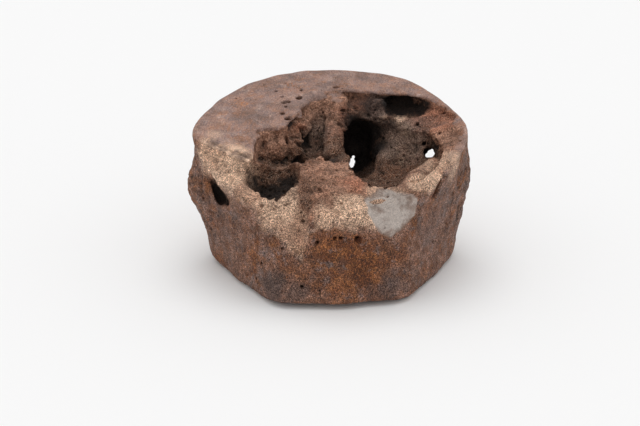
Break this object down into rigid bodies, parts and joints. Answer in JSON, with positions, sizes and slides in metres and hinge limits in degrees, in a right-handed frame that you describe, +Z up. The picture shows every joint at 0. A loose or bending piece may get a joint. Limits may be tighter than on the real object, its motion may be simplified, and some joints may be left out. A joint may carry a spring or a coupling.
{
  "type": "whale tail vertebra",
  "caption": "Worn body of a whale's tail bone, standing on its hind end: a brown drum with a sloping, half-lost end plate and open hollows in the spongy bone below it.",
  "frame": {"origin": "on the floor, under the middle of the bone's hind end", "axes": "+Z up along the bone's length, from the hind end to the front end; -Y the belly side with the blood-vessel groove; +Y the back side with the neural arch stumps; X across, towards the side process stumps"},
  "size_m": [0.4269, 0.3947, 0.2473],
  "materials": {
    "bone": "matt, brown mineral-stained bone with open pores"
  },
  "bodies": {
    "root": {"vertebra": "bone"}
  },
  "joints": []
}
